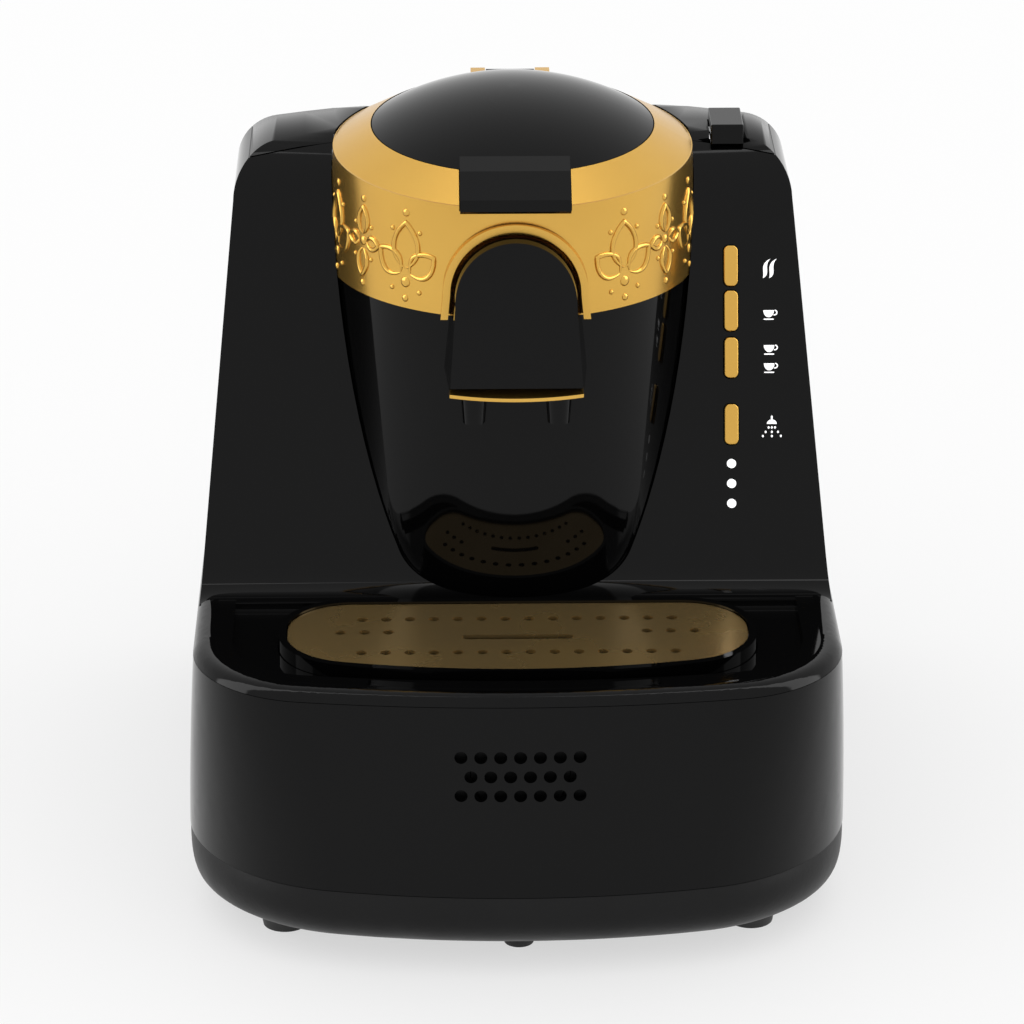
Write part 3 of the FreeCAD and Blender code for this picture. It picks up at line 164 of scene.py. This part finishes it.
def soften(names, width, steps=3):
    """Shows CAD nodes with rounded edges: each is copied, welded and beveled."""
    for name in names:
        node = NODES[name]
        build = bmesh.new()
        build.from_mesh(node.data)
        bmesh.ops.remove_doubles(build, verts=build.verts, dist=2e-6)
        bmesh.ops.dissolve_limit(build, angle_limit=math.radians(0.4), verts=build.verts, edges=build.edges)
        piece = new_piece(name + "_finished", build, SLOTS[name], node["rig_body"], 32)
        bevel = piece.modifiers.new("edges", "BEVEL")
        bevel.width = width
        bevel.segments = steps
        bevel.limit_method = "ANGLE"
        bevel.angle_limit = math.radians(32)
        bevel.harden_normals = True
        bevel.use_clamp_overlap = True
        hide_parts(name)


dress_cad()
soften(["heat_button", "one_cup_button", "two_cup_button", "clean_button", "latch_grip"], 0.0005)


# The tank lid closes up to the gold band; its CAD solid stands off for the collision shapes

BAND_AXIS_Y = 0.010
BAND_LOW = 0.198
BAND_RADIUS = 0.0622
BAND_TAPER = 0.03197
LID_GAP = 0.0028
LID_PLAY = 0.0006


def close_tank_lid():
    build = bmesh.new()
    build.from_mesh(NODES["tank_lid"].data)
    bmesh.ops.remove_doubles(build, verts=build.verts, dist=2e-6)
    for vertex in build.verts:
        away = Vector((vertex.co.x, vertex.co.y - BAND_AXIS_Y, 0))
        bore = BAND_RADIUS + LID_GAP - BAND_TAPER * (vertex.co.z - BAND_LOW)
        if abs(away.length - bore) < 0.0005:
            vertex.co -= away.normalized() * (LID_GAP - LID_PLAY)
    new_piece("tank_lid_finished", build, SLOTS["tank_lid"], NODES["tank_lid"]["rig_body"], 32)
    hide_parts("tank_lid")


close_tank_lid()


# The raised leaves on the gold band


def band_point(angle, height, out):
    """A point over the band: angle from the front in radians, to the right."""
    radius = BAND_RADIUS - BAND_TAPER * (height - BAND_LOW) + out
    return Vector((radius * math.sin(angle), BAND_AXIS_Y - radius * math.cos(angle), height))


def bow(start, pull_a, pull_b, end, steps=26):
    """Points of a cubic curve in millimetres."""
    points = []
    for i in range(steps + 1):
        t = i / steps
        u = 1 - t
        weights = (u ** 3, 3 * u * u * t, 3 * u * t * t, t ** 3)
        points.append(tuple(sum(w * p[k] for w, p in zip(weights, (start, pull_a, pull_b, end)))
                            for k in (0, 1)))
    return points


def ridge(build, points, angle, middle, width, height):
    """A rounded rib along points (millimetres, about a place on the band)."""
    centre = []
    for across, up in points:
        z = middle + up / 1000
        centre.append(band_point(angle + across / 1000 / BAND_RADIUS, z, 0.0))
    rings = []
    sides = 8
    for i, place in enumerate(centre):
        ahead = centre[min(i + 1, len(centre) - 1)] - centre[max(i - 1, 0)]
        out = Vector((place.x, place.y - BAND_AXIS_Y, 0)).normalized()
        along = ahead.normalized()
        side = along.cross(out).normalized()
        t = i / (len(centre) - 1)
        swell = min(1.0, math.sin(math.pi * min(max(t, 0.0), 1.0)) ** 0.5 * 1.15 + 0.12)
        ring = []
        for k in range(sides + 1):
            turn = math.pi * k / sides
            ring.append(build.verts.new(place + side * (width / 2 * swell * math.cos(turn))
                                        + out * (height * swell * math.sin(turn) - 0.00012)))
        rings.append(ring)
    for first, second in zip(rings, rings[1:]):
        for k in range(sides):
            build.faces.new((first[k], second[k], second[k + 1], first[k + 1]))
    for ring in (rings[0], rings[-1]):
        build.faces.new(ring)


def knob(build, across, up, angle, middle, radius, height):
    """A low round knob on the band."""
    z = middle + up / 1000
    place = band_point(angle + across / 1000 / BAND_RADIUS, z, -0.0001)
    out = Vector((place.x, place.y - BAND_AXIS_Y, 0)).normalized()
    side = Vector((0, 0, 1)).cross(out)
    rings = []
    for j in range(5):
        lift = math.radians(90 * j / 5)
        rings.append([build.verts.new(place + (side * math.cos(a) + Vector((0, 0, 1)) * math.sin(a))
                                      * radius * math.cos(lift) + out * height * math.sin(lift))
                      for a in (2 * math.pi * k / 14 for k in range(14))])
    top = build.verts.new(place + out * height)
    for first, second in zip(rings, rings[1:]):
        for k in range(14):
            build.faces.new((first[k], first[(k + 1) % 14], second[(k + 1) % 14], second[k]))
    for k in range(14):
        build.faces.new((rings[-1][k], rings[-1][(k + 1) % 14], top))


def leaf(across, up, length, width, lean):
    """The closed outline of a leaf that grows from a place and leans to the right."""
    side = bow((0, 0), (width, 0.25 * length), (width * 0.8, 0.7 * length), (0, length))
    outline = side + [(-x, z) for x, z in reversed(side)][1:]
    turn = math.radians(lean)
    return [(across + x * math.cos(turn) + z * math.sin(turn), up + z * math.cos(turn) - x * math.sin(turn))
            for x, z in outline]


def palmette():
    """Three broad petals over a round knob, with dots between and below them."""
    lines = [leaf(0, -5.0, 16.0, 7.4, 0)]
    for side in (-1, 1):
        lines.append(leaf(side * 2.0, -6.6, 11.4, 6.0, side * 52))
    dots = [(x, z, 0.9) for x in (-5.6, 5.6) for z in (8.2, -12.4)]
    return lines, dots + [(0, 14.4, 1.4), (0, -9.6, 1.9), (0, -15.2, 1.3)]


def star():
    """Four leaves about a knob, with dots between them and a drop above and below."""
    lines = [leaf(0, 2.4, 9.4, 3.8, 0), leaf(0, -2.4, 9.4, 3.8, 180)]
    lines += [leaf(side * 2.2, 0, 6.0, 3.0, side * 90) for side in (-1, 1)]
    dots = [(x, z, 0.9) for x in (-4.6, 4.6) for z in (-5.6, 5.6)]
    return lines, dots + [(0, 0, 1.7), (0, 14.6, 1.3), (0, -14.6, 1.3)]


def make_ornament():
    build = bmesh.new()
    middle = 0.2165
    for side in (-1, 1):
        for index, degrees in enumerate((36, 55, 74, 93, 112)):
            lines, knobs = star() if index % 2 else palmette()
            angle = side * math.radians(degrees)
            for line in lines:
                ridge(build, [(side * x, z) for x, z in line], angle, middle, 0.0018, 0.0009)
            for across, up, radius in knobs:
                knob(build, side * across, up, angle, middle, radius / 1000, 0.0007)
    bmesh.ops.recalc_face_normals(build, faces=build.faces)
    new_piece("band_leaves", build, "gold_band", "machine", 50)


make_ornament()


# Signs beside the buttons: each lies on the leaning face

FACE_LEAN = math.radians(20)
FACE_Z = 0.1317
FACE_Y = -0.0330


def face_frame(across, height, out=0.0):
    """Where a sign lies on the leaning face, with its x to the right and its y up the face."""
    y = FACE_Y + (height - FACE_Z) * math.tan(FACE_LEAN)
    right = Vector((1, 0, 0))
    up = Vector((0, math.sin(FACE_LEAN), math.cos(FACE_LEAN)))
    normal = right.cross(up)
    base = Vector((across, y, height)) + normal * out
    return Matrix((right, up, normal)).transposed().to_4x4(), base


def stroke(build, turn, base, points, width, high=0.00012):
    """A flat printed line with round ends, as a thin raised ribbon."""
    points = [Vector((x / 1000, y / 1000, 0)) for x, y in points]
    left, right = [], []
    half = width / 2000
    for i, point in enumerate(points):
        ahead = points[min(i + 1, len(points) - 1)] - points[max(i - 1, 0)]
        side = Vector((-ahead.y, ahead.x, 0)).normalized() * half
        left.append(point + side)
        right.append(point - side)

    def cap(centre, first):
        spoke = first - centre
        return [centre + Matrix.Rotation(-math.pi * k / 6, 3, "Z") @ spoke for k in range(1, 6)]

    outline = left + cap(points[-1], left[-1]) + list(reversed(right)) + cap(points[0], right[0])
    flat_shape(build, turn, base, outline, high)


def flat_shape(build, turn, base, outline, high=0.00012):
    low = [build.verts.new(turn @ Vector(p) + base) for p in outline]
    top = [build.verts.new(turn @ (Vector(p) + Vector((0, 0, high))) + base) for p in outline]
    count = len(outline)
    for i in range(count):
        build.faces.new((low[i], low[(i + 1) % count], top[(i + 1) % count], top[i]))
    face = build.faces.new(top)
    bmesh.ops.triangulate(build, faces=[face])


def mm(points):
    return [(x / 1000, y / 1000, 0) for x, y in points]


def round_points(cx, cy, rx, ry, start=0, end=360, steps=24):
    return [(cx + rx * math.cos(math.radians(start + (end - start) * i / steps)),
             cy + ry * math.sin(math.radians(start + (end - start) * i / steps))) for i in range(steps + 1)]


def cup_sign(build, across, height):
    """A small filled cup with its handle over a saucer line."""
    turn, base = face_frame(across, height, 0.00005)
    bowl = [(-2.0, 1.3), (1.6, 1.3)] + round_points(-0.2, 1.3, 1.8, 2.4, 0, -180, 14)[1:-1]
    flat_shape(build, turn, base, [Vector(p) for p in mm(bowl)])
    stroke(build, turn, base, round_points(1.7, 0.5, 0.9, 0.8, 70, -95, 10), 0.4)
    stroke(build, turn, base, [(-1.7, -1.75), (1.3, -1.75)], 0.42)


def make_signs():
    build = bmesh.new()
    turn, base = face_frame(0.0865, 0.1998, 0.00005)
    for shift in (-1.0, 1.15):
        leaf = bow((shift - 1.1, -3.3), (shift + 1.9, -1.9), (shift - 1.1, 0.7), (shift + 1.5, 3.3), 16)
        back = bow((shift + 1.5, 3.3), (shift - 2.4, 1.4), (shift - 0.4, -0.9), (shift - 1.1, -3.3), 16)
        flat_shape(build, turn, base, [Vector(p) for p in mm(leaf + back[1:-1])])
    cup_sign(build, 0.0865, 0.1853)
    cup_sign(build, 0.0866, 0.1742)
    cup_sign(build, 0.0866, 0.1684)
    turn, base = face_frame(0.0872, 0.1492, 0.00005)
    dome = round_points(0, 1.2, 1.7, 1.5, 0, 180, 14)
    flat_shape(build, turn, base, [Vector(p) for p in mm(dome)])
    stroke(build, turn, base, [(0, 2.5), (0, 3.7)], 0.6)
    for slant in (-0.75, 0.0, 0.75):
        for row in (0.3, 1.8, 3.2):
            x = slant * (1.3 + row) * 0.9
            drop = round_points(x, 0.3 - row, 0.34, 0.42, 0, 330, 11)
            flat_shape(build, turn, base, [Vector(p) for p in mm(drop)])
    bmesh.ops.recalc_face_normals(build, faces=build.faces)
    new_piece("button_signs", build, "white_light", "machine")


make_signs()


# Stage: floor, world and camera

FLOOR_RADIUS = 4.0
FLOOR_DROP = 0.0004
FLOOR_WHITE_SHARE = 0.6


def light_path(tree, names):
    """1 for the named kinds of ray."""
    path = add(tree, "ShaderNodeLightPath")
    value = path.outputs[names[0]]
    for name in names[1:]:
        join = add(tree, "ShaderNodeMath", operation="MAXIMUM")
        tree.links.new(value, join.inputs[0])
        tree.links.new(path.outputs[name], join.inputs[1])
        value = join.outputs[0]
    return value


def make_floor():
    mesh = bpy.data.meshes.new("floor")
    build = bmesh.new()
    bmesh.ops.create_circle(build, cap_ends=True, segments=96, radius=FLOOR_RADIUS)
    build.to_mesh(mesh)
    build.free()
    floor = bpy.data.objects.new("floor", mesh)
    SCENE.collection.objects.link(floor)
    floor.location.z = -FLOOR_DROP
    material, tree, shader = new_material("floor")
    shader.inputs["Base Color"].default_value = (0.97, 0.97, 0.97, 1)
    shader.inputs["Roughness"].default_value = 0.6
    shader.inputs["Specular IOR Level"].default_value = 0.0
    white = add(tree, "ShaderNodeEmission", Color=(1, 1, 1, 1), Strength=1.0)
    share = add(tree, "ShaderNodeMath", operation="MULTIPLY")
    share.inputs[1].default_value = FLOOR_WHITE_SHARE
    seen = light_path(tree, ["Is Camera Ray", "Is Glossy Ray", "Is Transmission Ray"])
    tree.links.new(seen, share.inputs[0])
    mix = add(tree, "ShaderNodeMixShader")
    tree.links.new(share.outputs[0], mix.inputs[0])
    tree.links.new(shader.outputs[0], mix.inputs[1])
    tree.links.new(white.outputs[0], mix.inputs[2])
    tree.links.new(mix.outputs[0], tree.nodes["Material Output"].inputs["Surface"])
    mesh.materials.append(material)


STRIP_STRENGTH = 4.0
STRIP_START = 70
STRIP_END = 100
STRIP_FADE = 3


def make_world():
    """Plain white all round; reflections show it too, with a brighter strip at each side.

    The floor hides the strips from surfaces that reflect downwards.
    """
    world = bpy.data.worlds.new("studio")
    SCENE.world = world
    world.use_nodes = True
    tree = world.node_tree
    tree.nodes.clear()
    out = add(tree, "ShaderNodeOutputWorld")
    plain = add(tree, "ShaderNodeBackground", Color=(1, 1, 1, 1), Strength=1.0)
    studio = add(tree, "ShaderNodeBackground", Color=(1, 1, 1, 1))
    place = add(tree, "ShaderNodeTexCoord")
    split = add(tree, "ShaderNodeSeparateXYZ")
    tree.links.new(place.outputs["Generated"], split.inputs[0])

    def calc(operation, a, b=None):
        node = add(tree, "ShaderNodeMath", operation=operation)
        for i, value in enumerate((a, b)):
            if value is None:
                continue
            if isinstance(value, (int, float)):
                node.inputs[i].default_value = value
            else:
                tree.links.new(value, node.inputs[i])
        return node.outputs[0]

    x, y = split.outputs[:2]
    azimuth = calc("ABSOLUTE", calc("ARCTAN2", x, calc("MULTIPLY", y, -1.0)))
    azimuth = calc("DIVIDE", azimuth, math.pi)

    def degrees_wide(value):
        return value / 180.0

    share = 1 / STRIP_STRENGTH
    sides = ramp(tree, azimuth, [(0.0, share), (degrees_wide(STRIP_START - STRIP_FADE), share),
                                 (degrees_wide(STRIP_START), 1.0), (degrees_wide(STRIP_END), 1.0),
                                 (degrees_wide(STRIP_END + STRIP_FADE), share), (1.0, share)])
    tree.links.new(calc("MULTIPLY", sides, STRIP_STRENGTH), studio.inputs["Strength"])
    mix = add(tree, "ShaderNodeMixShader")
    tree.links.new(light_path(tree, ["Is Glossy Ray", "Is Transmission Ray"]), mix.inputs[0])
    tree.links.new(plain.outputs[0], mix.inputs[1])
    tree.links.new(studio.outputs[0], mix.inputs[2])
    tree.links.new(mix.outputs[0], out.inputs[0])


def make_camera():
    camera = bpy.data.cameras.new("camera")
    camera.sensor_width = 36.0
    camera.lens = 166.2
    camera.shift_y = -0.0576
    camera.shift_x = -0.001
    camera.clip_start = 0.05
    holder = bpy.data.objects.new("camera", camera)
    SCENE.collection.objects.link(holder)
    target = Vector((0, 0, 0.130))
    holder.location = Vector((-0.0265, -1.5182, 0.7281))
    holder.rotation_euler = (target - holder.location).to_track_quat("-Z", "Y").to_euler()
    SCENE.camera = holder


make_floor()
make_world()
make_camera()
SCENE.view_settings.view_transform = "Standard"
